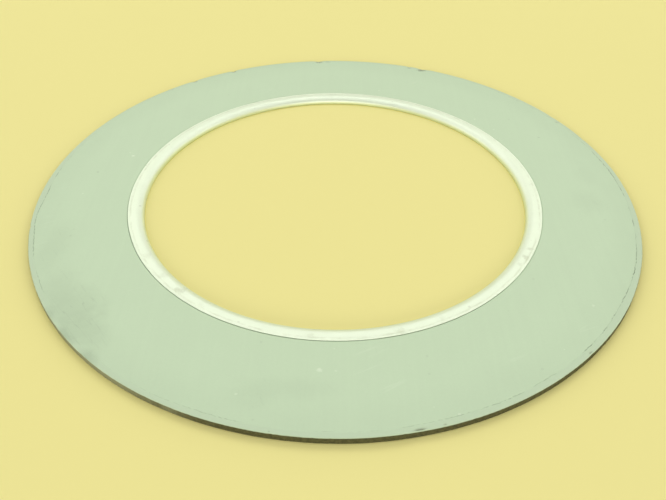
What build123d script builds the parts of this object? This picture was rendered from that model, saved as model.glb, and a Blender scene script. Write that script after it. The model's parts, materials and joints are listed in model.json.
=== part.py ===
from build123d import *
import math
import os

# Flat ring gasket with an inner eyelet, for a 3 inch class 150 pipe flange.
# A soft sheet ring is cut with a die. Its hole is lined by a thin stainless strip that is
# folded over both faces: the lower flange is formed first with a tight fold, and a closing
# tool rolls the upper one down in a wider curve and leaves a shallow groove in it.
# Millimetres, +Z up, ring axis on Z, underside of the eyelet at z = 0.

# ---- soft sheet ring ----
outer_d = 136.5        # outside diameter, just inside the flange bolts
hole_d = 88.9          # hole cut in the sheet, the outside diameter of the pipe
sheet_t = 1.6          # thickness of the sheet
rim_w = 1.4            # strip along the outside edge that the die pressed down
rim_drop = 0.12        # how far that strip falls by the time it reaches the edge
roll_r = 0.25          # radius at which the strip rolls over the edge
score_w = 0.22         # width of the fine crease between the flat face and the strip
score_depth = 0.09     # depth of that crease
burr_break = 0.08      # small bevel round the edge that the die left last

# ---- stainless eyelet ----
strip_t = 0.15         # thickness of the folded strip
flange_overlap = 2.8   # how far each flange reaches over the sheet
press_depth = 0.08     # how far each flange is pressed into the sheet
seat_gap = 0.06        # gap between the flange's edge and the foot of its seat's wall
seat_lip = 0.1         # how far that wall leans back where the sheet swelled up beside it
nose_reach = 0.7       # how far the fold stands into the hole
low_fold_r = 0.3       # outside radius of the lower fold
tight_r = 1.15         # outside radius of the upper fold, beside the bore wall
slack_r = 2.4          # outside radius of the upper fold, where it leaves the flange
slack_turn = 28        # degrees that the strip turns at that wider radius
lining_steps = 2       # straight steps that stand for each fold's hidden inside curve
corner_gap = 0.03      # gap under the upper fold, over the corner that it crushed
land_w = 0.32          # flat land along the upper flange's edge, outside the groove
groove_w = 0.55        # width of the groove that the closing tool leaves
groove_depth = 0.04    # depth of that groove

# ---- worked out from the sizes above; heights are from the middle of the sheet ----
outer_r = outer_d / 2
hole_r = hole_d / 2
bore_r = hole_r - nose_reach
flange_r = hole_r + flange_overlap
seat_r = flange_r + seat_gap
score_r = outer_r - rim_w
face_z = sheet_t / 2
seat_z = face_z - press_depth
flange_z = seat_z + strip_t
tight_at = (
    bore_r + tight_r,
    flange_z - slack_r + (slack_r - tight_r) * math.cos(math.radians(slack_turn)),
)
slack_at = (
    bore_r + tight_r + (slack_r - tight_r) * math.sin(math.radians(slack_turn)),
    flange_z - slack_r,
)
low_at = (bore_r + low_fold_r, low_fold_r - flange_z)

def sheet_ring():
    """Die-cut ring: seats for the flanges, a crushed corner, and a creased and rolled rim."""
    lining_rise = math.sqrt((slack_r - strip_t) ** 2 - (slack_at[0] - hole_r) ** 2)
    corner_z = slack_at[1] + lining_rise - corner_gap
    edge_z = face_z - rim_drop
    fall = rim_drop / (rim_w - score_w / 2)
    with BuildPart() as ring:
        with BuildSketch(Plane.XZ):
            with BuildLine():
                roll = CenterArc((outer_r - roll_r, edge_z - roll_r), roll_r, 0, 90, mode=Mode.PRIVATE)
                Polyline(
                    (outer_r - roll_r, edge_z + fall * roll_r),
                    roll @ 0.5,
                    roll @ 0,
                    (outer_r, -face_z + burr_break),
                    (outer_r - burr_break, -face_z),
                    (seat_r + seat_lip, -face_z),
                    (seat_r, -seat_z),
                    (hole_r, -seat_z),
                    (hole_r, corner_z),
                    (slack_at[0], seat_z),
                    (seat_r, seat_z),
                    (seat_r + seat_lip, face_z),
                    (score_r - score_w / 2, face_z),
                    (score_r, face_z - score_depth),
                    (score_r + score_w / 2, face_z),
                    close=True,
                )
            make_face()
        revolve(axis=Axis.Z)
    return ring.part

def folds(depth, mode):
    """Both folds, taken round from flange to flange, at a depth under the strip's outside."""
    slack = CenterArc(slack_at, slack_r - depth, 90, slack_turn, mode=mode)
    tight = CenterArc(tight_at, tight_r - depth, 90 + slack_turn, 90 - slack_turn, mode=mode)
    low = CenterArc(low_at, low_fold_r - depth, 180, 90, mode=mode)
    return slack, tight, low

def lining():
    """Points of the strip's hidden inside, from the upper flange round to the lower one."""
    points = []
    for fold in folds(strip_t, Mode.PRIVATE):
        points += [fold @ (step / lining_steps) for step in range(lining_steps + 1)]
    del points[lining_steps]  # the wide and the tight curve share this point
    return points

def bore_eyelet():
    """Folded strip: a flange on each face, joined by a rounded nose that lines the bore."""
    with BuildPart() as eyelet:
        with BuildSketch(Plane.XZ):
            with BuildLine():
                slack, tight, low = folds(0, Mode.ADD)
                Line(tight @ 1, low @ 0)
                land = Line((flange_r, flange_z), (flange_r - land_w, flange_z))
                groove_low = land @ 1 - Vector(groove_w / 2, groove_depth)
                groove = ThreePointArc(land @ 1, groove_low, land @ 1 - Vector(groove_w, 0))
                Line(groove @ 1, slack @ 0)
                Polyline(
                    (flange_r, flange_z),
                    (flange_r, seat_z),
                    *lining(),
                    (flange_r, -seat_z),
                    (flange_r, -flange_z),
                    low @ 1,
                )
            make_face()
        revolve(axis=Axis.Z)
    return eyelet.part

nodes = {
    "gasket_sheet": sheet_ring(),
    "bore_eyelet": bore_eyelet(),
}

os.makedirs("parts", exist_ok=True)
for name, solid in nodes.items():
    export_step(Pos(0, 0, flange_z) * solid, f"parts/{name}.step")
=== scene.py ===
import json
import math

import bpy
import numpy as np
from mathutils import Euler, Matrix, Vector


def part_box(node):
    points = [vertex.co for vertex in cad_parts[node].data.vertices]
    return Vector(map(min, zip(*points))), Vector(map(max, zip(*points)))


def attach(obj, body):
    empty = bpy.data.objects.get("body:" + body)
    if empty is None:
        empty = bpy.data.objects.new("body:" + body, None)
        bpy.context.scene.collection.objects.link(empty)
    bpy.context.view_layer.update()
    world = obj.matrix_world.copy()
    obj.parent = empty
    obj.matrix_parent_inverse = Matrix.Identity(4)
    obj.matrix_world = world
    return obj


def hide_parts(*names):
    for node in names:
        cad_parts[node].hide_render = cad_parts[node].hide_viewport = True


# Flat ring gasket with an inner eyelet. Two pieces are dressed here: the soft sheet ring,
# and the folded stainless strip that lines its hole. Metres, ring axis on Z.

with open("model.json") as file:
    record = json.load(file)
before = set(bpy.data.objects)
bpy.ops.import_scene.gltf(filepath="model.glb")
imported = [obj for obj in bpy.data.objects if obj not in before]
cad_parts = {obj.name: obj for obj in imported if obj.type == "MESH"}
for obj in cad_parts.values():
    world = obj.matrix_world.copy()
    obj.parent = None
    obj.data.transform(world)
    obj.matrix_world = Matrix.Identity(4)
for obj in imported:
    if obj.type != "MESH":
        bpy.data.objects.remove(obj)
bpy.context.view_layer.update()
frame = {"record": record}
sheetLow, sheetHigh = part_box("gasket_sheet")
eyeletLow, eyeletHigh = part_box("bore_eyelet")
mounts = {m["name"]: m for m in frame["record"]["mounts"]}
mm = 0.001
outerR = sheetHigh.x
boreR = mounts["bore"]["dims"]["r_mm"] * mm
flangeR = eyeletHigh.x
stripThickness = 0.15 * mm    # of the folded strip, which the sheet's seats are cut for
print("frame loaded: outside", round(outerR / mm, 2), "mm, bore", round(boreR / mm, 2), "mm")

# shapes worked out with numpy

def easeStep(x, start, end):
    # 0 before start, 1 after end, and the cubic 3t^2 - 2t^3 between them
    t = np.clip((x - start) / (end - start), 0, 1)
    return t * t * (3 - 2 * t)

def bell(x, middle, width):
    # e to the minus square of the distance from the middle, counted in widths
    return np.exp(-(((x - middle) / width) ** 2))

def angleBell(angle, middle, width):
    # the same bell, on the shorter way round the circle; angles in degrees
    away = (angle - middle + 180) % 360 - 180
    return np.exp(-((away / width) ** 2))

def ringWaves(angle, seed, lowest, highest, fade=0.6):
    # sum of whole waves round the ring, from the lowest to the highest number of them, each
    # with its own random phase and a size of (random from 0.3 to 1) / wave number^fade, then
    # scaled so that its spread is 1; the seed settles what is random
    rng = np.random.default_rng(seed)
    count = np.arange(lowest, highest + 1)
    phase = rng.uniform(0, 2 * np.pi, count.size)
    size = rng.uniform(0.3, 1, count.size) / count ** fade
    waves = (size * np.cos(np.radians(angle)[:, None] * count + phase)).sum(1)
    return waves / waves.std()

def steps(*stops):
    # stops are (value, number of steps up to the next stop); gives all the values in a row
    rows = [
        np.linspace(a, b, n, endpoint=False)
        for (a, n), (b, _) in zip(stops, stops[1:])
    ]
    return np.concatenate(rows)

def turnedMesh(name, radii, heights, attributes):
    # point (i, j) = (radius * cos(angle i), radius * sin(angle i), height), angle i in equal
    # steps; four neighbours make a face, and both directions close on themselves
    around, along = radii.shape
    angle = 2 * np.pi * np.arange(around) / around
    points = np.stack([
        radii * np.cos(angle)[:, None],
        radii * np.sin(angle)[:, None],
        heights,
    ], axis=-1).reshape(-1, 3)
    i, j = np.meshgrid(np.arange(around), np.arange(along), indexing="ij")
    nextI, nextJ = (i + 1) % around, (j + 1) % along
    corners = np.stack([
        i * along + j, nextI * along + j, nextI * along + nextJ, i * along + nextJ,
    ], axis=-1).reshape(-1, 4)
    mesh = bpy.data.meshes.new(name)
    mesh.vertices.add(len(points))
    mesh.vertices.foreach_set("co", points.ravel())
    mesh.loops.add(corners.size)
    mesh.loops.foreach_set("vertex_index", corners.ravel())
    mesh.polygons.add(len(corners))
    mesh.polygons.foreach_set("loop_start", np.arange(0, corners.size, 4))
    mesh.polygons.foreach_set("use_smooth", np.ones(len(corners), bool))
    mesh.update(calc_edges=True)
    for label, values in attributes.items():
        layer = mesh.attributes.new(label, "FLOAT", "POINT")
        layer.data.foreach_set("value", np.ascontiguousarray(values, np.float32).ravel())
    made = bpy.data.objects.new(name, mesh)
    bpy.context.scene.collection.objects.link(made)
    return made

# gasketSheet: the soft sheet ring

sheetLook = {
    "around": 1200,          # points round the ring
    # outside edge
    "outOfRound": 0.16,      # mm, how far it lies in on its farthest side
    "farSide": 208,          # degrees, where that side is
    "farSideWidth": 32,      # degrees, its half width
    "edgeWander": 0.035,     # mm, slow wander
    "edgeRough": 0.018,      # mm, torn fibres
    "rimZone": (3.2, 0.6),   # mm in from the edge, from where to where the face follows it
    "rollRadius": 0.28,      # mm, rolled corner
    "bevel": 0.08,           # mm, broken lower edge
    # pressed strip along the edge, and the crease along its inner side
    "stripWidth": 1.3,       # mm
    "stripDrop": 0.12,       # mm, how far the strip falls outwards
    "creaseWidth": 0.10,     # mm, half width
    "creaseDepth": 0.085,    # mm, where it is plain
    "creaseWander": 0.10,    # mm, spread of its wander to either side
    "creaseFaint": 0.3,      # strength away from its plain runs
    "creaseBroken": 0.35,    # strength where it is broken
    # flat face
    "faceWave": 0.006,       # mm, slow waves
    "faceSettle": 0.02,      # mm, room left over the face for the swelling
    # seat of the eyelet
    "seatGap": 0.06,         # mm, from the flange's edge to the foot of the seat's wall
    "seatLip": 0.1,          # mm, how far that wall leans back
    "seatRise": 0.02,        # mm, swelling of the sheet beside the eyelet
    "seatRiseWidth": 0.35,   # mm
    "underReach": 2.8,       # mm, how far the sheet reaches in under the flange
    "crushWidth": 1.0,       # mm, how much of that is crushed by the upper fold
    "cornerCrush": 0.28,     # mm, and how far down
    # the crease is plain at these places and faint elsewhere: degrees, half width, strength
    "creaseRuns": [
        (-8, 14, 1.0), (-27, 6, 0.9), (-42, 9, 0.8), (-66, 16, 0.5), (-105, 12, 0.35),
        (-160, 14, 0.6), (178, 14, 0.7), (10, 9, 0.6), (40, 22, 0.3),
    ],
    # nicks and torn spots of the upper edge: degrees, half width, depth in mm
    "nicks": [
        (67.6, 1.2, 0.34), (71.0, 0.5, 0.14), (94.3, 1.0, 0.30), (116.5, 0.6, 0.24),
        (127.0, 0.9, 0.20), (-78.2, 1.3, 0.15), (-74.5, 0.4, 0.12), (-99.0, 0.3, 0.12),
        (-47.0, 0.6, 0.12), (-168.0, 0.5, 0.12), (31.0, 0.8, 0.10), (20.0, 0.5, 0.08),
    ],
    "nickSlope": (0.2, 1.2), # mm outwards of the crease, from where to where a nick deepens
    "nickBite": 0.8,         # share of its depth that a nick bites into the wall
    "bareDepth": 0.2,        # mm, depth of a nick at which the bare inside shows
}

def outsideEdge(look, angle):
    # the outside radius, less what is out of round and the sizes of the slow wander and of
    # the fibres, all moved out until the farthest point reaches the outside radius
    wander = look["edgeWander"] * ringWaves(angle, 11, 2, 9)
    rough = look["edgeRough"] * ringWaves(angle, 12, 60, 420, 0.2)
    shrink = look["outOfRound"] * angleBell(angle, look["farSide"], look["farSideWidth"])
    inset = shrink + np.abs(wander) + np.abs(rough)
    return outerR - (inset - inset.min()) * mm

def creaseLine(look, angle):
    # radius: the strip's inner side plus a jitter of slow and quick waves. Strength: how plain
    # it is at that angle, times how whole two sets of waves leave it
    plain = sum(s * angleBell(angle, at, wide) for at, wide, s in look["creaseRuns"])
    faint, broken = look["creaseFaint"], look["creaseBroken"]
    slowBreaks = easeStep(ringWaves(angle, 14, 6, 90, 0.5), -1.3, 0.7)
    quickBreaks = easeStep(ringWaves(angle, 17, 90, 500, 0.1), -2.0, 0.5)
    strength = faint + (1 - faint) * np.clip(plain, 0, 1)
    strength = strength * (broken + (1 - broken) * (slowBreaks * quickBreaks))
    jitter = ringWaves(angle, 15, 2, 40) + 0.35 * ringWaves(angle, 18, 80, 400, 0.2)
    radius = outerR - look["stripWidth"] * mm + look["creaseWander"] * mm * jitter
    return radius, strength

def makeSheet(look):
    # closed outline of the sheet: upper face, rolled corner, cut wall, lower face, hole wall.
    # the radius runs along it in steps; the height of the upper face is the flat face, less
    # the strip's even fall, less the crease's bell, plus the swelling's bell, less the step
    # down into the eyelet's seat, plus slow waves, less the nicks
    around = look["around"]
    angle = 360 * np.arange(around) / around
    top, bottom = sheetHigh.z, sheetLow.z
    edge = outsideEdge(look, angle)
    creaseAt, creaseShare = creaseLine(look, angle)
    nick = sum(depth * angleBell(angle, at, wide) for at, wide, depth in look["nicks"])
    holeR = flangeR - look["underReach"] * mm
    crushR = holeR + look["crushWidth"] * mm
    seatR = flangeR + look["seatGap"] * mm
    lipR = seatR + look["seatLip"] * mm
    roll = look["rollRadius"] * mm
    bevel = look["bevel"] * mm
    zoneStart, zoneEnd = [outerR - reach * mm for reach in look["rimZone"]]
    # rows of points, closest over the crease and the strip
    flatR = steps(
        (holeR, 2), (crushR, 2), (seatR, 3), (lipR, 5), (seatR + 0.8 * mm, 8), (zoneStart, 4),
        (outerR - 2.2 * mm, 30), (outerR - 0.55 * mm, 6), (outerR - roll, 1),
    )
    # the face's outer radii shrink with the wandering edge
    share = easeStep(flatR, zoneStart, zoneEnd)
    upperR = flatR[None, :] + share[None, :] * (edge - outerR)[:, None]
    fromCrease = upperR - creaseAt[:, None]
    fall = look["stripDrop"] * mm * np.clip(fromCrease / (look["stripWidth"] * mm), 0, 1)
    crease = bell(fromCrease, 0, look["creaseWidth"] * mm)
    crease = look["creaseDepth"] * mm * creaseShare[:, None] * crease
    swellWidth = look["seatRiseWidth"] * mm
    swell = look["seatRise"] * mm * bell(upperR, seatR + swellWidth, swellWidth)
    seatTop = eyeletHigh.z - stripThickness
    crushed = np.clip((crushR - flatR) / (crushR - holeR), 0, 1) ** 2
    seatFall = (top - seatTop) * (1 - easeStep(flatR, seatR, lipR))
    seatFall = seatFall + look["cornerCrush"] * mm * crushed
    waves = look["faceWave"] * mm * ringWaves(angle, 16, 2, 12)[:, None]
    waves = waves * easeStep(flatR, seatR, outerR)[None, :]
    nickStart, nickEnd = [reach * mm for reach in look["nickSlope"]]
    nickFall = nick[:, None] * mm * easeStep(fromCrease, nickStart, nickEnd)
    upperZ = top - look["faceSettle"] * mm - fall - crease + swell - seatFall[None, :]
    upperZ = upperZ + waves - look["faceWave"] * mm - nickFall
    # rolled corner, a quarter round from the strip's end to the wall
    turn = np.radians(np.linspace(0, 90, 7))
    outwards = np.sin(turn)[None, :]
    torn = (nick * mm)[:, None] * outwards * look["nickBite"]
    rollR = (edge - roll)[:, None] + roll * outwards - torn
    rollZ = upperZ[:, -1:] - roll * (1 - np.cos(turn))[None, :]
    # cut wall, straight down to the lower bevel, less a half sine of torn fibres
    fallShare = np.linspace(0, 1, 9)[1:]
    foot = bottom + bevel
    fibres = look["edgeRough"] * np.abs(ringWaves(angle, 13, 50, 500, 0.1))[:, None] * mm
    wallZ = rollZ[:, -1:] + (foot - rollZ[:, -1:]) * fallShare[None, :]
    wallR = rollR[:, -1:] * (1 - fallShare[None, :]) + edge[:, None] * fallShare[None, :]
    wallR = wallR - fibres * np.sin(np.pi * fallShare)[None, :]
    # lower face back to the hole, and the hole's wall behind the eyelet
    lowR = np.array([
        outerR - bevel, outerR - 1 * mm, outerR - 6 * mm, outerR - 12 * mm,
        seatR + 2 * mm, lipR, seatR, holeR,
    ])
    lowZ = np.array([bottom] * 6 + [eyeletLow.z + stripThickness] * 2)
    lowShare = easeStep(lowR, zoneStart, zoneEnd)
    lowerR = lowR[None, :] + lowShare[None, :] * (edge - outerR)[:, None]
    radii = np.hstack([upperR, rollR, wallR, lowerR])
    heights = np.hstack([upperZ, rollZ, wallZ, np.tile(lowZ, (around, 1))])
    # marks for the finish: where the cut inside shows, how deep the crease is, and the strip
    marks = {
        "cutFace": np.hstack([
            np.clip(nickFall / (look["bareDepth"] * mm), 0, 1),
            np.tile(easeStep(turn, 0.7, 1.4), (around, 1)),
            np.ones_like(wallR),
            np.tile((lowR > outerR - 0.2 * mm) * 1.0, (around, 1)),
        ]),
        "crease": np.hstack([
            crease / (look["creaseDepth"] * mm), np.zeros_like(rollR),
            np.zeros_like(wallR), np.zeros_like(lowerR),
        ]),
        "rimStrip": np.hstack([
            easeStep(fromCrease, 0.05 * mm, 0.25 * mm), np.ones_like(rollR),
            np.zeros_like(wallR), np.zeros_like(lowerR),
        ]),
    }
    return turnedMesh("gasketSheet", radii, heights, marks)

# boreEyelet: the folded strip in the hole

eyeletLook = {
    "around": 1080,          # points round the ring
    "lowerFold": 0.3,        # mm, outside radius of the fold formed first
    "slackFold": 2.4,        # mm, wide radius at which the upper flange starts to turn down
    "slackTurn": 28,         # degrees turned at the wide radius
    "tightFold": 1.15,       # mm, radius of the rest of the upper fold
    "crown": 0.03,           # mm, how far the flange falls from the fold to its edge
    "edgeRound": 0.035,      # mm, rounded cut edge of each flange
    "edgeWave": 0.012,       # mm, wander of the flange's edge
    "grooveAt": 0.62,        # mm in from the flange's edge to the middle of the groove
    "grooveWidth": 0.22,     # mm
    "grooveDepth": 0.03,     # mm
    "grooveUneven": 0.25,    # share of its depth that comes and goes
    "grooveLeast": 0.3,      # share of its depth that is always there
    "grooveMost": 1.4,       # and the share it never passes
    "ripple": 0.005,         # mm, faint waves that the closing tool left in the flange
}

def upperFold(look, depth, count):
    # from the wall upwards: a tight quarter less the split, then the wide radius; depth is how
    # far this line lies inside the strip's outside, and count the points of each part
    split = math.radians(look["slackTurn"])
    outTight, outSlack = look["tightFold"] * mm, look["slackFold"] * mm
    tight, slack = outTight - depth, outSlack - depth
    first = np.linspace(0, math.pi / 2 - split, count)
    second = np.linspace(math.pi / 2 - split, math.pi / 2, count)[1:]
    reach = (look["slackFold"] - look["tightFold"]) * mm
    tightR = boreR + outTight - tight * np.cos(first)
    slackR = boreR + outTight + reach * math.sin(split) - slack * np.cos(second)
    tightZ = eyeletHigh.z - outSlack + reach * math.cos(split) + tight * np.sin(first)
    slackZ = eyeletHigh.z - outSlack + slack * np.sin(second)
    return np.concatenate([tightR, slackR]), np.concatenate([tightZ, slackZ])

def makeEyelet(look):
    # closed outline of the folded strip: bore wall, upper fold, grooved upper flange, its cut
    # edge, and back along the inside, which is the same outline one strip's thickness deeper.
    # the flange falls by the square of the way along it, and the groove is a bell
    around = look["around"]
    angle = 360 * np.arange(around) / around
    top, bottom = eyeletHigh.z, eyeletLow.z
    thick = stripThickness
    low = look["lowerFold"] * mm
    rounded = look["edgeRound"] * mm
    shortTurn = np.radians(np.linspace(0, 90, 10))
    edgeTurn = np.radians(np.linspace(0, 90, 5))
    # upper half, outside: from the wall over the fold to the flange's rounded edge
    foldOutR, foldOutZ = upperFold(look, 0, 13)
    foldR = foldOutR[-1]
    flangeLine = steps((foldR, 3), (flangeR - 1.4 * mm, 22), (flangeR - rounded, 1))[1:]
    outR = np.concatenate([
        foldOutR, flangeLine, flangeR - rounded + rounded * np.sin(edgeTurn),
    ])
    outZ = np.concatenate([
        foldOutZ, np.full(flangeLine.size, top), top - rounded + rounded * np.cos(edgeTurn),
    ])
    # upper half, inside, walked back to the wall with few points, since it lies hidden
    foldInR, foldInZ = upperFold(look, thick, 4)
    innerR = flangeR - 0.5 * mm
    inR = np.concatenate([[flangeR, innerR], foldInR[::-1]])
    inZ = np.concatenate([[top - thick] * 2, foldInZ[::-1]])
    # lower half: inside out to the flange's edge, then its underside back to the wall
    lowR = boreR + low
    backR = np.concatenate([lowR - (low - thick) * np.cos(shortTurn), [innerR, flangeR]])
    backZ = np.concatenate([
        bottom + low - (low - thick) * np.sin(shortTurn), [bottom + thick] * 2,
    ])
    underR = np.concatenate([
        flangeR - rounded + rounded * np.cos(edgeTurn), [flangeR - 1 * mm],
        lowR - low * np.cos(shortTurn[::-1]),
    ])
    underZ = np.concatenate([
        bottom + rounded - rounded * np.sin(edgeTurn), [bottom],
        bottom + low - low * np.sin(shortTurn[::-1]),
    ])
    lineR = np.concatenate([outR, inR, backR, underR])
    lineZ = np.concatenate([outZ, inZ, backZ, underZ])
    upper = np.concatenate([np.ones(outR.size), np.zeros(lineR.size - outR.size)])
    along = np.clip((lineR - foldR) / (flangeR - foldR), 0, 1)
    wave = look["edgeWave"] * mm * ringWaves(angle, 21, 3, 30, 0.8)
    radii = lineR[None, :] + (wave - wave.max())[:, None] * along[None, :] ** 2
    # groove, ripples and crown of the upper flange
    uneven = look["grooveUneven"]
    share = 1 - uneven + uneven * ringWaves(angle, 22, 2, 16)
    share = np.clip(share, look["grooveLeast"], look["grooveMost"])
    grooveLine = bell(lineR, flangeR - look["grooveAt"] * mm, look["grooveWidth"] * mm)
    groove = look["grooveDepth"] * mm * share[:, None] * grooveLine[None, :]
    ripple = look["ripple"] * mm * ringWaves(angle, 23, 5, 60, 0.7)
    ripple = (ripple - ripple.max())[:, None] * (along * upper)[None, :]
    crown = look["crown"] * mm * along ** 2 * upper
    heights = lineZ[None, :] - groove * upper[None, :] + ripple - crown[None, :]
    marks = {"groove": np.tile(grooveLine * upper, (around, 1))}
    return turnedMesh("boreEyelet", radii, heights, marks)

gasketSheet = makeSheet(sheetLook)
print("gasketSheet:", len(gasketSheet.data.polygons), "faces")
boreEyelet = makeEyelet(eyeletLook)
print("boreEyelet:", len(boreEyelet.data.polygons), "faces")

# shader groups that the finishes share; a size or scale is how many of it fit in a metre

patterns = {
    "streakSize": 700.0,     # across the streaks of the grain
    "streakSlim": 0.02,      # and what that is multiplied by along them
    "bendSize": 2500.0,      # noise that bends the specks out of round
    "bendReach": 0.0003,     # m, how far it bends them
    "speckLeast": 0.4,       # a speck's size is taken times this plus a random number to 1
    "speckEdge": 1.5,        # a speck is gone at so many times its size
    "lineSlim": 0.06,        # hair lines: what their scale is multiplied by along them
    "lineHalf": 0.012,       # how far from its middle value the noise still gives a line
    "lineRunOut": 0.1,       # share over which the lines run out
    "stainPush": 4.0,        # how strongly the cloud pushes a stain's edge
    "stainCore": 0.2,        # share of its radius from which a stain fades
}

def newGroup(name, inputs, outputs):
    # an empty group; inputs are (name, socket kind, value); outputs are (name, socket kind)
    group = bpy.data.node_groups.new(name, "ShaderNodeTree")
    for label, kind, value in inputs:
        socket = group.interface.new_socket(label, in_out="INPUT", socket_type=kind)
        if value is not None:
            socket.default_value = value
    for label, kind in outputs:
        group.interface.new_socket(label, in_out="OUTPUT", socket_type=kind)
    return group, group.nodes.new("NodeGroupInput"), group.nodes.new("NodeGroupOutput")

def addNode(tree, kind, links=None, **values):
    # one node; values are its own settings, and links go from the name or number of an input
    # to a socket to join, or to a plain value to set
    node = tree.nodes.new(kind)
    for label, value in values.items():
        setattr(node, label, value)
    for label, value in (links or {}).items():
        if isinstance(value, bpy.types.NodeSocket):
            tree.links.new(value, node.inputs[label])
        else:
            node.inputs[label].default_value = value
    return node

def maths(tree, operation, first, second=0.0, third=0.0):
    # first and second taken together by the operation; MULTIPLY_ADD is first * second + third
    links = {0: first, 1: second, 2: third}
    return addNode(tree, "ShaderNodeMath", links, operation=operation).outputs[0]

def vectorMaths(tree, operation, first, second=None):
    # the same for vectors; gives the node, whose outputs are a vector and a value
    links = {0: first} if second is None else {0: first, 1: second}
    return addNode(tree, "ShaderNodeVectorMath", links, operation=operation)

def ramp(tree, value, low, high, toLow=0.0, toHigh=1.0):
    # smooth change from toLow to toHigh as the value goes from low to high
    node = addNode(tree, "ShaderNodeMapRange", {
        "Value": value, "From Min": low, "From Max": high, "To Min": toLow, "To Max": toHigh,
    }, interpolation_type="SMOOTHSTEP")
    return node.outputs["Result"]

def noiseAt(tree, vector, scale, detail=2.0, roughness=0.5):
    # cloudy noise from 0 to 1 about 0.5: layers of it, each finer and weaker than the last
    node = addNode(tree, "ShaderNodeTexNoise", {
        "Vector": vector, "Scale": scale, "Detail": detail, "Roughness": roughness,
    })
    return node.outputs["Fac"]

def slimmed(tree, vector, scale):
    # the space of a pattern with its y multiplied by the scale, which draws it out along y
    node = addNode(tree, "ShaderNodeMapping", {"Vector": vector, "Scale": (1, scale, 1)})
    return node.outputs[0]

def mixColour(tree, share, first, second, mode="MIX"):
    # first * (1 - share) + second * share; in the mode MULTIPLY, second is first * second
    node = addNode(tree, "ShaderNodeMix", {"Factor": share, 6: first, 7: second},
                   data_type="RGBA", blend_type=mode)
    return node.outputs[2]

def makeGrainGroup(look):
    # fine cloudy grain plus streaks along y, both about 0, and their height
    tree, given, out = newGroup("fineGrain", [
        ("Vector", "NodeSocketVector", None), ("Grain Size", "NodeSocketFloat", 3000.0),
        ("Cloud Size", "NodeSocketFloat", 250.0), ("Streak", "NodeSocketFloat", 0.5),
        ("Cloud", "NodeSocketFloat", 0.5),
    ], [("Value", "NodeSocketFloat"), ("Height", "NodeSocketFloat")])
    place, grainSize, cloudSize, streakShare, cloudShare = given.outputs[:5]
    fine = noiseAt(tree, place, grainSize, 3, 0.6)
    cloud = noiseAt(tree, place, cloudSize, 4, 0.6)
    slim = slimmed(tree, place, look["streakSlim"])
    streak = noiseAt(tree, slim, look["streakSize"], 3, 0.7)
    finePart, cloudPart, streakPart = [
        maths(tree, "SUBTRACT", part, 0.5) for part in (fine, cloud, streak)
    ]
    cloudPart = maths(tree, "MULTIPLY", cloudPart, cloudShare)
    streakPart = maths(tree, "MULTIPLY", streakPart, streakShare)
    total = maths(tree, "ADD", maths(tree, "ADD", finePart, cloudPart), streakPart)
    tree.links.new(total, out.inputs["Value"])
    height = maths(tree, "ADD", fine, maths(tree, "MULTIPLY", streak, streakShare))
    tree.links.new(height, out.inputs["Height"])
    return tree

def makeSpeckGroup(look):
    # round specks: a speck shows where its cell's random number is below the share, and it
    # is solid up to its size and gone at its edge, which is its size * speckEdge
    tree, given, out = newGroup("strewnSpecks", [
        ("Vector", "NodeSocketVector", None), ("Scale", "NodeSocketFloat", 300.0),
        ("Share", "NodeSocketFloat", 0.1), ("Size", "NodeSocketFloat", 0.15),
    ], [("Mask", "NodeSocketFloat")])
    place, scale, share, size = given.outputs[:4]
    bending = addNode(tree, "ShaderNodeTexNoise", {
        "Vector": place, "Scale": look["bendSize"], "Detail": 1.0,
    }).outputs["Color"]
    reach = (look["bendReach"], look["bendReach"], 0.0)
    bend = vectorMaths(tree, "MULTIPLY", bending, reach).outputs[0]
    cells = addNode(tree, "ShaderNodeTexVoronoi", {
        "Vector": vectorMaths(tree, "ADD", place, bend).outputs[0], "Scale": scale,
    }, voronoi_dimensions="2D")
    pick = addNode(tree, "ShaderNodeSeparateColor", {"Color": cells.outputs["Color"]})
    chosen = maths(tree, "LESS_THAN", pick.outputs[0], share)
    grown = maths(tree, "ADD", pick.outputs[1], look["speckLeast"])
    solid = maths(tree, "MULTIPLY", size, grown)
    edge = maths(tree, "MULTIPLY", solid, look["speckEdge"])
    near = ramp(tree, cells.outputs["Distance"], edge, solid)
    tree.links.new(maths(tree, "MULTIPLY", near, chosen), out.inputs["Mask"])
    return tree

def makeScratchGroup(look):
    # hair lines in one direction: a slim stretched noise is cut near its middle value, and a
    # second, slower noise decides where the lines run out
    tree, given, out = newGroup("hairLines", [
        ("Vector", "NodeSocketVector", None), ("Turn", "NodeSocketFloat", 0.0),
        ("Scale", "NodeSocketFloat", 400.0), ("Share", "NodeSocketFloat", 0.5),
    ], [("Mask", "NodeSocketFloat")])
    place, turn, scale, share = given.outputs[:4]
    turned = addNode(tree, "ShaderNodeVectorRotate", {
        "Vector": place, "Angle": turn,
    }, rotation_type="Z_AXIS").outputs[0]
    lines = noiseAt(tree, slimmed(tree, turned, look["lineSlim"]), scale, 2, 0.5)
    ridge = maths(tree, "ABSOLUTE", maths(tree, "SUBTRACT", lines, 0.5))
    thin = ramp(tree, ridge, 0.0, look["lineHalf"], 1.0, 0.0)
    patch = noiseAt(tree, place, maths(tree, "MULTIPLY", scale, 0.5), 1, 0.5)
    start = maths(tree, "SUBTRACT", 1.0, share)
    end = maths(tree, "SUBTRACT", 1.0 + look["lineRunOut"], share)
    shown = ramp(tree, patch, start, end)
    tree.links.new(maths(tree, "MULTIPLY", thin, shown), out.inputs["Mask"])
    return tree

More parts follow.
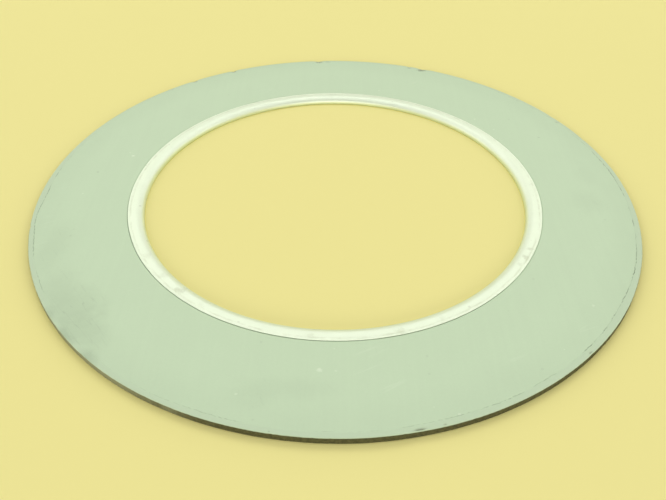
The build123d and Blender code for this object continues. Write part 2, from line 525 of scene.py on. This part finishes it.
def makeStainGroup(look):
    # one soft stain: full at its middle and gone at its radius, with a ragged edge, which is
    # the distance in radii plus (cloudy noise - 0.5) * ragged * push
    tree, given, out = newGroup("softStain", [
        ("Vector", "NodeSocketVector", None), ("Middle", "NodeSocketVector", None),
        ("Stretch", "NodeSocketVector", (1, 1, 1)), ("Radius", "NodeSocketFloat", 0.01),
        ("Ragged", "NodeSocketFloat", 0.5), ("Patch Size", "NodeSocketFloat", 300.0),
    ], [("Mask", "NodeSocketFloat")])
    place, middle, stretch, radius, ragged, patchSize = given.outputs[:6]
    away = vectorMaths(tree, "SUBTRACT", place, middle).outputs[0]
    scaled = vectorMaths(tree, "MULTIPLY", away, stretch).outputs[0]
    length = vectorMaths(tree, "LENGTH", scaled).outputs["Value"]
    share = maths(tree, "DIVIDE", length, radius)
    cloud = noiseAt(tree, place, patchSize, 4, 0.65)
    push = maths(tree, "MULTIPLY", maths(tree, "SUBTRACT", cloud, 0.5), ragged)
    torn = maths(tree, "ADD", share, maths(tree, "MULTIPLY", push, look["stainPush"]))
    tree.links.new(ramp(tree, torn, look["stainCore"], 1.0, 1.0, 0.0), out.inputs["Mask"])
    return tree

groups = {
    "grain": makeGrainGroup(patterns),
    "specks": makeSpeckGroup(patterns),
    "lines": makeScratchGroup(patterns),
    "stain": makeStainGroup(patterns),
}
print("shader groups made:", len(groups))

# what the two finishes have in common

def linear(red, green, blue):
    # screen colour 0 to 255 into the light it stands for: up to 0.04045 the share / 12.92,
    # and above it ((share + 0.055) / 1.055)^2.4
    share = np.array([red, green, blue]) / 255
    light = np.where(share <= 0.04045, share / 12.92, ((share + 0.055) / 1.055) ** 2.4)
    return (*[float(v) for v in light], 1.0)

def newMaterial(name):
    # an empty material with one Principled shader, which is joined to its output
    material = bpy.data.materials.new(name)
    material.use_nodes = True
    tree = material.node_tree
    tree.nodes.clear()
    out = tree.nodes.new("ShaderNodeOutputMaterial")
    shader = tree.nodes.new("ShaderNodeBsdfPrincipled")
    tree.links.new(shader.outputs["BSDF"], out.inputs["Surface"])
    return material, tree, shader

def pieceSpace(tree):
    # the place on the piece, its x, y and z, the same place laid flat, which is (x, y, 0), and
    # the flat place's distance from the ring's axis
    place = addNode(tree, "ShaderNodeTexCoord").outputs["Object"]
    xyz = addNode(tree, "ShaderNodeSeparateXYZ", {0: place}).outputs
    flat = addNode(tree, "ShaderNodeCombineXYZ", {0: xyz[0], 1: xyz[1]}).outputs[0]
    radius = vectorMaths(tree, "LENGTH", flat).outputs["Value"]
    return place, xyz, flat, radius

def attributeOf(tree, label):
    # one of the marks that the mesh carries
    return addNode(tree, "ShaderNodeAttribute", attribute_name=label).outputs["Fac"]

def useGroup(tree, name, links):
    # one of the shared groups with its inputs
    return addNode(tree, "ShaderNodeGroup", links, node_tree=groups[name])

def stainMask(tree, flat, x, y, size, edge, stretch=(1.0, 1.0)):
    # a soft stain with its middle at x, y and its size as radius, in mm
    return useGroup(tree, "stain", {
        "Vector": flat, "Middle": (x * mm, y * mm, 0), "Stretch": (*stretch, 0.0),
        "Radius": size * mm, **edge,
    }).outputs["Mask"]

def laidOver(tree, colour, mask, strength, tint):
    # the colour with a tint laid over it, by the mask * the strength
    return mixColour(tree, maths(tree, "MULTIPLY", mask, strength), colour, tint)

def shaded(tree, colour, change):
    # every channel of the colour times the change
    tone = addNode(tree, "ShaderNodeCombineColor", {0: change, 1: change, 2: change})
    return mixColour(tree, 1.0, colour, tone.outputs[0], "MULTIPLY")

def joinFinish(tree, shader, look, colour, rough, height):
    # colour, roughness and bump into the shader
    tree.links.new(colour, shader.inputs["Base Color"])
    tree.links.new(rough, shader.inputs["Roughness"])
    bump = addNode(tree, "ShaderNodeBump", {
        "Strength": look["bump"], "Distance": look["bumpDepth"] * mm, "Height": height,
    })
    tree.links.new(bump.outputs["Normal"], shader.inputs["Normal"])

# finish of the soft sheet

softSheet = {
    "face": linear(194, 213, 180),
    "grain": {"Grain Size": 2600.0, "Cloud Size": 160.0, "Streak": 0.8, "Cloud": 0.5},
    "grainShare": 0.055,
    "handled": linear(165, 182, 153),      # grime of handling
    "handledFrom": 0.86,                   # share of the outside radius where it sets in
    "handledFull": 0.985,                  # and where it is full
    "handledShare": 0.16,
    "handledCloud": 90.0,                  # size of its unevenness
    "strip": linear(187, 204, 174),
    "stripShare": 0.7,
    # painted shade in the crease
    "creaseShade": linear(104, 116, 94),
    "creaseShare": 0.85,
    "rimLine": linear(92, 106, 84),        # painted shadow that the eyelet's edge casts on the sheet beside it
    "rimLineShare": 0.5,
    "rimShadowReach": (0.06, 0.18),          # mm from the flange, where it is full and gone
    "rimShadowSlant": 0.4,                   # it fades with y + slant * x
    "rimShadowFade": (-36.0, -8.0),          # mm, from where to where it fades
    "rimShadowLeft": 0.1,                    # share that is left of it then
    "cut": linear(92, 90, 60),
    "cutDark": linear(74, 73, 48),
    "cutCloud": 1800.0,                    # size of the patches of the two
    "paleCut": linear(150, 152, 124),      # paler part of the cut wall, on its near left side
    "paleCutShare": 0.75,
    "paleCutAt": (-47.0, -50.0, 34.0),     # mm, its middle and its radius
    "paleCutEdge": {"Ragged": 0.3, "Patch Size": 260.0},
    "edgeDark": linear(84, 86, 64),        # filler laid bare where the rim is nicked
    "speckDark": linear(120, 128, 108),
    "speckPale": linear(236, 244, 224),
    # specks: pattern, strength, tint
    "specks": [
        ({"Scale": 300.0, "Share": 0.03, "Size": 0.05}, 0.09, "speckDark"),
        ({"Scale": 240.0, "Share": 0.04, "Size": 0.04}, 0.22, "speckPale"),
    ],
    "scuffs": {"Turn": math.radians(62), "Scale": 150.0, "Share": 0.42},
    "scuffShare": 0.08,
    "rubs": {"Turn": math.radians(-38), "Scale": 520.0, "Share": 0.6},
    "smudgeBody": 0.9,                     # a smudge between the rub lines
    "smudgeShare": 0.62,
    "smudgeEdge": {"Ragged": 0.3, "Patch Size": 150.0},
    # smudges: x, y, radius in mm, strength, stretch along x and y
    "smudges": [
        (-50.5, -39.5, 8.0, 0.52, (1.0, 0.9)), (-47.5, -44.0, 6.5, 0.52, (1.0, 1.0)),
        (-54.5, -33.5, 6.5, 0.36, (1.2, 0.8)), (-59.0, -21.0, 7.0, 0.28, (1.6, 0.6)),
        (-44.0, -46.5, 4.5, 0.25, (1.0, 1.0)), (-8.0, -58.2, 5.5, 0.26, (0.5, 1.5)),
        (-14.0, -60.5, 4.0, 0.16, (0.7, 1.3)), (57.5, -4.0, 6.0, 0.20, (1.2, 0.8)),
        (60.0, 8.0, 5.0, 0.16, (1.4, 0.7)), (30.0, -55.0, 6.0, 0.08, (0.7, 1.2)),
    ],
    # the same on the pressed strip
    "rimGrime": [
        (-50.6, -47.2, 3.8, 1.6, (1.0, 1.0)), (-45.0, -52.6, 3.6, 1.4, (1.0, 1.0)),
        (-55.6, -41.2, 3.4, 1.1, (1.0, 1.0)),
    ],
    "markEdge": {"Ragged": 0.5, "Patch Size": 1500.0},
    "markStretch": (1.0, 1.3),
    # single marks: x, y, radius in mm, strength, tint
    "marks": [
        (-57.1, 7.0, 0.38, 0.30, "speckDark"), (-50.2, 14.1, 0.55, 0.50, "speckPale"),
        (-51.2, 15.6, 0.35, 0.30, "speckPale"), (-2.7, -54.1, 0.70, 0.36, "speckPale"),
        (0.2, -54.3, 0.40, 0.20, "speckPale"), (14.2, -66.6, 1.0, 0.36, "speckDark"),
        (12.4, -66.9, 0.6, 0.22, "speckDark"), (52.6, 24.0, 0.45, 0.22, "speckDark"),
        (25.8, 62.0, 1.7, 0.62, "edgeDark"), (22.2, 63.4, 1.0, 0.30, "edgeDark"),
        (-5.0, 67.0, 1.5, 0.60, "edgeDark"), (-2.4, 67.3, 1.2, 0.25, "edgeDark"),
        (-30.2, 60.2, 1.1, 0.45, "edgeDark"), (-41.0, 54.0, 1.3, 0.45, "edgeDark"),
        (-46.8, 49.2, 0.9, 0.30, "edgeDark"), (59.4, 31.8, 0.9, 0.30, "edgeDark"),
    ],
    "roughness": 0.62,
    "roughChange": 0.2,
    "specular": 0.2,
    "bump": 0.12,
    "bumpDepth": 0.05,                     # mm
}

def smudged(tree, flat, rubs, colour, smudges, look):
    # grime laid over each smudge, by its stain * (rub lines + body) * strength * share
    for x, y, size, strength, stretch in smudges:
        stain = stainMask(tree, flat, x, y, size, look["smudgeEdge"], stretch)
        patchMask = maths(tree, "MULTIPLY", stain, maths(tree, "ADD", rubs, look["smudgeBody"]))
        strength = strength * look["smudgeShare"]
        colour = laidOver(tree, colour, patchMask, strength, look["handled"])
    return colour

def makeSheetFinish(look):
    # the face's colour times (1 + grain * its share), then one layer after another laid over
    # it, and last the cut's colours where the mesh says that the inside shows
    material, tree, shader = newMaterial("softSheet")
    place, xyz, flat, radius = pieceSpace(tree)
    grain = useGroup(tree, "grain", {"Vector": place, **look["grain"]})
    change = maths(tree, "MULTIPLY_ADD", grain.outputs["Value"], look["grainShare"], 1.0)
    colour = shaded(tree, look["face"], change)
    # grime of handling, thicker towards the rim and down to half of that in patches
    cloud = ramp(tree, noiseAt(tree, flat, look["handledCloud"], 4, 0.6), 0.25, 0.75, 0.5, 1.0)
    nearRim = ramp(tree, radius, look["handledFrom"] * outerR, look["handledFull"] * outerR)
    grime = maths(tree, "MULTIPLY", nearRim, cloud)
    colour = laidOver(tree, colour, grime, look["handledShare"], look["handled"])
    # smudges, with slanting rub lines in them, and fainter scuffs all over
    rubs = useGroup(tree, "lines", {"Vector": flat, **look["rubs"]}).outputs["Mask"]
    colour = smudged(tree, flat, rubs, colour, look["smudges"], look)
    scuffs = useGroup(tree, "lines", {"Vector": flat, **look["scuffs"]}).outputs["Mask"]
    colour = laidOver(tree, colour, scuffs, look["scuffShare"], look["speckPale"])
    # specks and single marks
    for pattern, strength, tint in look["specks"]:
        mask = useGroup(tree, "specks", {"Vector": flat, **pattern}).outputs["Mask"]
        colour = laidOver(tree, colour, mask, strength, look[tint])
    for markX, markY, size, strength, tint in look["marks"]:
        mask = stainMask(tree, flat, markX, markY, size, look["markEdge"], look["markStretch"])
        colour = laidOver(tree, colour, mask, strength, look[tint])
    # pressed strip with its grime, and painted shade in the crease
    strip = attributeOf(tree, "rimStrip")
    colour = laidOver(tree, colour, strip, look["stripShare"], look["strip"])
    colour = smudged(tree, flat, rubs, colour, look["rimGrime"], look)
    creaseShading = ramp(tree, attributeOf(tree, "crease"), 0.1, 1.0)
    colour = laidOver(tree, colour, creaseShading, look["creaseShare"], look["creaseShade"])
    # painted shadow beside the eyelet, full towards -y and fading across the ring
    shadowFull, shadowGone = [flangeR + reach * mm for reach in look["rimShadowReach"]]
    line = ramp(tree, radius, shadowFull, shadowGone, look["rimLineShare"], 0.0)
    across = maths(tree, "MULTIPLY_ADD", xyz[0], look["rimShadowSlant"], xyz[1])
    fadeStart, fadeEnd = [at * mm for at in look["rimShadowFade"]]
    fade = ramp(tree, across, fadeStart, fadeEnd, 1.0, look["rimShadowLeft"])
    colour = mixColour(tree, maths(tree, "MULTIPLY", line, fade), colour, look["rimLine"])
    # the cut wall, dark and darker in patches, and paler on one side
    patches = ramp(tree, noiseAt(tree, place, look["cutCloud"], 3, 0.6), 0.35, 0.65)
    cutColour = mixColour(tree, patches, look["cutDark"], look["cut"])
    patchMask = stainMask(tree, flat, *look["paleCutAt"], look["paleCutEdge"])
    cutColour = laidOver(tree, cutColour, patchMask, look["paleCutShare"], look["paleCut"])
    cut = ramp(tree, attributeOf(tree, "cutFace"), 0.15, 0.85)
    colour = mixColour(tree, cut, colour, cutColour)
    rough = maths(
        tree, "MULTIPLY_ADD", grain.outputs["Value"], look["roughChange"], look["roughness"])
    joinFinish(tree, shader, look, colour, rough, grain.outputs["Height"])
    shader.inputs["Specular IOR Level"].default_value = look["specular"]
    return material

# finish of the stainless strip

stainless = {
    "metal": linear(228, 237, 214),
    "grain": {"Grain Size": 2200.0, "Cloud Size": 420.0, "Streak": 0.2, "Cloud": 1.0},
    "grainShare": 0.05,
    "drawn": (9000.0, 6.0),                # drawing lines: scale across and along the ring
    "drawnShare": 0.08,
    "soil": linear(172, 176, 138),
    "grooveSoil": 0.30,
    "grooveCloud": (1600.0, 22.0),         # what breaks the groove's soil: the same scales
    # soiled places: degrees, radius in mm, size in mm, strength
    "soiled": [
        (-30.6, 46.2, 1.00, 0.30), (-27.0, 46.2, 0.90, 0.24), (-34.0, 45.9, 0.80, 0.14),
        (-131.8, 45.8, 1.40, 0.28), (-139.0, 45.7, 1.10, 0.12), (-148.7, 45.7, 1.20, 0.14),
        (-124.0, 46.2, 1.00, 0.10), (-95.8, 46.3, 0.90, 0.14), (-75.0, 46.4, 1.20, 0.18),
        (-64.0, 46.3, 1.00, 0.12),
    ],
    "soiledEdge": {"Ragged": 0.7, "Patch Size": 900.0},
    "spot": linear(138, 134, 108),
    "spots": {"Scale": 500.0, "Share": 0.05, "Size": 0.08},
    "spotShare": 0.15,
    "dullMetal": 0.6,                      # metal lost where soil or a spot lies on it
    "dullRough": 0.2,                      # and roughness gained there
    "roughness": 0.55,
    "roughChange": 0.2,
    "bump": 0.10,
    "bumpDepth": 0.03,                     # mm
}

def ringNoise(tree, across, toward, scales, detail, roughness):
    # noise that follows the ring, at (across * the first scale, the direction from the axis
    # * the second): fine across the ring and slow along it
    sides = addNode(tree, "ShaderNodeSeparateXYZ", {0: toward})
    place = addNode(tree, "ShaderNodeCombineXYZ", {
        0: maths(tree, "MULTIPLY", across, scales[0]),
        1: maths(tree, "MULTIPLY", sides.outputs[0], scales[1]),
        2: maths(tree, "MULTIPLY", sides.outputs[1], scales[1]),
    }).outputs[0]
    return noiseAt(tree, place, 1.0, detail, roughness)

def makeStainlessFinish(look):
    # the metal's colour times (1 + grain + drawing lines), then soil and spots laid over it,
    # which are less metallic and rougher than the rest
    material, tree, shader = newMaterial("stainlessStrip")
    place, xyz, flat, radius = pieceSpace(tree)
    toward = vectorMaths(tree, "NORMALIZE", flat).outputs[0]
    along = maths(tree, "ADD", radius, xyz[2])
    height = ringNoise(tree, along, toward, look["drawn"], 3, 0.6)
    drawn = maths(tree, "SUBTRACT", height, 0.5)
    grain = useGroup(tree, "grain", {"Vector": place, **look["grain"]})
    change = maths(tree, "MULTIPLY_ADD", grain.outputs["Value"], look["grainShare"], 1.0)
    change = maths(tree, "ADD", change, maths(tree, "MULTIPLY", drawn, look["drawnShare"]))
    colour = shaded(tree, look["metal"], change)
    # thin soil that stays in the groove, broken up
    cloud = ramp(tree, ringNoise(tree, radius, toward, look["grooveCloud"], 4, 0.65), 0.35, 0.7)
    inGroove = maths(tree, "MULTIPLY", attributeOf(tree, "groove"), cloud)
    colour = laidOver(tree, colour, inGroove, look["grooveSoil"], look["soil"])
    # soiled places, the stronger one where two meet
    soiled = 0.0
    for at, ringR, size, strength in look["soiled"]:
        soiledX = ringR * math.cos(math.radians(at))
        soiledY = ringR * math.sin(math.radians(at))
        mask = stainMask(tree, flat, soiledX, soiledY, size, look["soiledEdge"])
        soiled = maths(tree, "MAXIMUM", soiled, maths(tree, "MULTIPLY", mask, strength))
    colour = mixColour(tree, soiled, colour, look["soil"])
    spots = useGroup(tree, "specks", {"Vector": flat, **look["spots"]}).outputs["Mask"]
    spots = maths(tree, "MULTIPLY", spots, look["spotShare"])
    colour = mixColour(tree, spots, colour, look["spot"])
    dull = maths(tree, "MAXIMUM", soiled, spots)
    metallic = maths(tree, "SUBTRACT", 1.0, maths(tree, "MULTIPLY", dull, look["dullMetal"]))
    tree.links.new(metallic, shader.inputs["Metallic"])
    rough = maths(tree, "MULTIPLY_ADD", drawn, look["roughChange"], look["roughness"])
    rough = maths(tree, "ADD", rough, maths(tree, "MULTIPLY", dull, look["dullRough"]))
    joinFinish(tree, shader, look, colour, rough, height)
    return material

gasketSheet.data.materials.append(makeSheetFinish(softSheet))
boreEyelet.data.materials.append(makeStainlessFinish(stainless))
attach(gasketSheet, "root")
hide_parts("gasket_sheet")
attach(boreEyelet, "root")
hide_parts("bore_eyelet")
print("finishes and frame links made")

# floor, light and camera

studio = {
    "floorSize": 4.0,                   # m
    "floorColour": linear(232, 223, 147),
    "floorRough": 0.8,
    "floorSpecular": 0.2,
    # the sky's strength and colour; heights and sides are those of a direction 1 long
    "lowSky": 0.86,                     # evenly lit surroundings low down, all round
    "lowSkyEnd": (0.25, 0.45),          # height at which they begin to end, and end
    "lowTint": (1.0, 0.94, 0.56, 1.0),  # their colour, as of more pale floor
    "lowTintEnd": (0.1, 0.4),           # the same for their colour
    "highTint": (1.0, 1.0, 1.0, 1.0),
    "frontSky": 0.42,                   # above them in front
    "backSky": 0.10,                    # and behind
    "skyTurn": 0.2,                     # how far from the middle the two have met
    "overhead": 1.2,                    # arch of light from left to right over the top
    "archSide": (0.15, 0.35),           # towards front or back, where it is full and gone
    "archFoot": (0.4, 0.6),             # height at which it sets in, and is full
    "boxDistance": 2.0,                 # m
    # soft boxes: name, degrees round from +X, degrees up, size in m, W
    "softBoxes": [
        ("backBox", 90, 52, (1.6, 0.8), 8.9),
        ("rightBackBox", 55, 33, (0.9, 0.8), 3.9),
        ("leftBackBox", 125, 33, (0.9, 0.8), 4.0),
        ("rightBox", 2, 27, (1.6, 1.1), 5.6),
        ("leftBox", 178, 27, (1.6, 1.1), 6.2),
        ("frontLowBox", 270, 18, (1.8, 0.6), 12.5),
    ],
}

def makeFloor(look):
    # a square around the axis, at height 0
    size = look["floorSize"] / 2
    corners = [(-size, -size, 0), (size, -size, 0), (size, size, 0), (-size, size, 0)]
    mesh = bpy.data.meshes.new("floor")
    mesh.from_pydata(corners, [], [(0, 1, 2, 3)])
    floor = bpy.data.objects.new("floor", mesh)
    bpy.context.scene.collection.objects.link(floor)
    material, _, shader = newMaterial("paleFloor")
    shader.inputs["Base Color"].default_value = look["floorColour"]
    shader.inputs["Roughness"].default_value = look["floorRough"]
    shader.inputs["Specular IOR Level"].default_value = look["floorSpecular"]
    mesh.materials.append(material)

def makeSky(look):
    # strength by direction: front or back sky, under it the low surroundings, over both the
    # arch; the colour changes from the low tint to the high one with height
    world = bpy.data.worlds.new("studioSky")
    bpy.context.scene.world = world
    world.use_nodes = True
    tree = world.node_tree
    way = addNode(tree, "ShaderNodeTexCoord").outputs["Generated"]
    _, y, z = addNode(tree, "ShaderNodeSeparateXYZ", {0: way}).outputs
    turn = look["skyTurn"]
    sky = ramp(tree, y, turn, -turn, look["backSky"], look["frontSky"])
    sky = ramp(tree, ramp(tree, z, *look["lowSkyEnd"]), 0.0, 1.0, look["lowSky"], sky)
    aside = ramp(tree, maths(tree, "ABSOLUTE", y), *look["archSide"], 1.0, 0.0)
    inArch = maths(tree, "MULTIPLY", aside, ramp(tree, z, *look["archFoot"]))
    strength = ramp(tree, inArch, 0.0, 1.0, sky, look["overhead"])
    high = ramp(tree, z, *look["lowTintEnd"])
    tint = mixColour(tree, high, look["lowTint"], look["highTint"])
    background = tree.nodes["Background"]
    tree.links.new(tint, background.inputs["Color"])
    tree.links.new(strength, background.inputs["Strength"])

def makeBoxes(look):
    # soft boxes at one distance from the ring's middle, which each of them faces
    for name, around, up, size, power in look["softBoxes"]:
        lamp = bpy.data.lights.new(name, "AREA")
        lamp.shape = "RECTANGLE"
        lamp.size, lamp.size_y = size
        lamp.energy = power
        holder = bpy.data.objects.new(name, lamp)
        bpy.context.scene.collection.objects.link(holder)
        turned = Euler((0, math.radians(-up), math.radians(around))).to_matrix()
        toward = turned @ Vector((1, 0, 0))
        holder.location = toward * look["boxDistance"]
        holder.rotation_mode = "QUATERNION"
        holder.rotation_quaternion = toward.to_track_quat("Z", "Y")

view = {
    "lens": 38.64,                # mm
    "sensor": 36.0,               # mm
    "clip": (0.005, 20),          # m, nearest and farthest that it shows
    "place": (-0.00041, -0.13616, 0.09719),  # m, with its height over the sheet's upper face
    "down": 40.30,                # degrees that it looks down
    "roll": 0.34,                 # degrees
}

def makeCamera(look):
    # moved to its place, tilted up from looking straight down, and rolled about its own line
    lens = bpy.data.cameras.new("camera")
    lens.lens, lens.sensor_width = look["lens"], look["sensor"]
    lens.clip_start, lens.clip_end = look["clip"]
    camera = bpy.data.objects.new("camera", lens)
    bpy.context.scene.collection.objects.link(camera)
    x, y, height = look["place"]
    tilt, roll = math.radians(90 - look["down"]), math.radians(look["roll"])
    camera.matrix_world = (
        Matrix.Translation((x, y, height + sheetHigh.z))
        @ Matrix.Rotation(tilt, 4, "X") @ Matrix.Rotation(roll, 4, "Z")
    )
    bpy.context.scene.camera = camera

makeFloor(studio)
makeSky(studio)
makeBoxes(studio)
makeCamera(view)
bpy.context.scene.view_settings.view_transform = "Standard"
print("stage, light and camera made")
